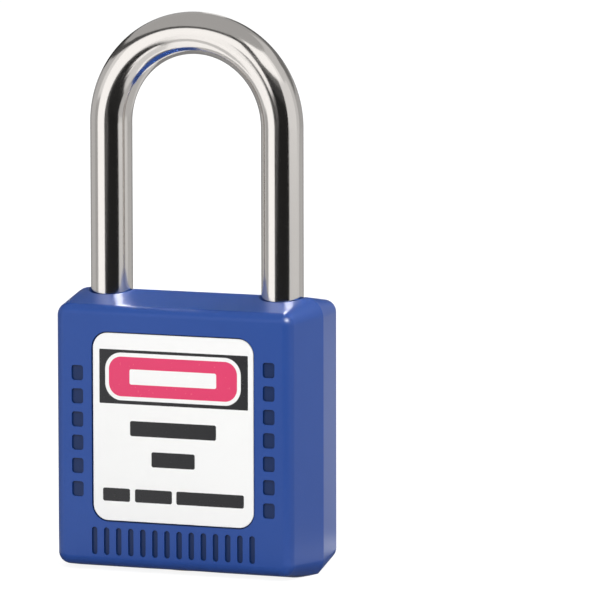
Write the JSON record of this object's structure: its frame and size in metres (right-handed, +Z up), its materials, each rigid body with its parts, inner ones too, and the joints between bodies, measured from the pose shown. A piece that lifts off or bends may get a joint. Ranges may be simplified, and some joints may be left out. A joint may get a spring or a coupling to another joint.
{
  "type": "lockout padlock",
  "caption": "Slim moulded safety padlock with a round steel shackle, a front label panel and a keyed cylinder that draws in two locking balls.",
  "frame": {"origin": "centre of the foot, on the surface the padlock stands on", "axes": "+Z up along the shackle legs, +X to the right along the front face from the heel leg to the toe leg, +Y from the front face to the back"},
  "size_m": [0.0408, 0.0196, 0.0841],
  "materials": {
    "body_plastic": "glossy moulded blue thermoplastic with a fine satin texture",
    "cover_plastic": "satin moulded blue thermoplastic",
    "label_film": "smooth printed white film",
    "shackle_steel": "bright plated steel, polished",
    "spring_steel": "drawn steel wire and stamped clips",
    "inner_steel": "ground steel",
    "cam_metal": "cast grey metal, lightly tumbled",
    "brass": "turned and milled brass"
  },
  "bodies": {
    "case": {"lock_body": "body_plastic", "bottom_cover": "cover_plastic", "label": "label_film", "cylinder_housing": "brass", "chamber_cover": "brass", "cylinder_screw": "inner_steel", "shackle_spring": "spring_steel", "driver_pin_1": "inner_steel", "driver_pin_2": "inner_steel", "driver_pin_3": "inner_steel", "driver_pin_4": "inner_steel", "driver_pin_5": "inner_steel", "driver_pin_6": "inner_steel", "pin_spring_1": "spring_steel", "pin_spring_2": "spring_steel", "pin_spring_3": "spring_steel", "pin_spring_4": "spring_steel", "pin_spring_5": "spring_steel", "pin_spring_6": "spring_steel"},
    "shackle": {"shackle": "shackle_steel", "shackle_clip": "spring_steel"},
    "plug": {"plug": "brass", "plug_clip": "spring_steel", "cam": "cam_metal", "key_pin_1": "brass", "key_pin_2": "brass", "key_pin_3": "brass", "key_pin_4": "brass", "key_pin_5": "brass", "key_pin_6": "brass"},
    "heel_ball": {"heel_ball": "inner_steel"},
    "toe_ball": {"toe_ball": "inner_steel"}
  },
  "joints": [
    {"name": "shackle_lift", "type": "slide", "parent": "case", "child": "shackle", "axis": [0, 0, 1], "range_m": [0, 0.0149], "deforming": ["shackle_spring"]},
    {"name": "plug_turn", "type": "hinge", "parent": "case", "child": "plug", "pos_m": [0, 0, 0.0125], "axis": [0, 0, 1], "range_deg": [-90, 0]},
    {"name": "heel_ball_slide", "type": "slide", "parent": "case", "child": "heel_ball", "axis": [-1, 0, 0], "range_m": [0, 0.00145]},
    {"name": "toe_ball_slide", "type": "slide", "parent": "case", "child": "toe_ball", "axis": [1, 0, 0], "range_m": [0, 0.00145]}
  ],
  "couplings": [
    {"joint": "heel_ball_slide", "follows": "plug_turn", "m_per_rad": -0.000923},
    {"joint": "toe_ball_slide", "follows": "plug_turn", "m_per_rad": -0.000923}
  ]
}
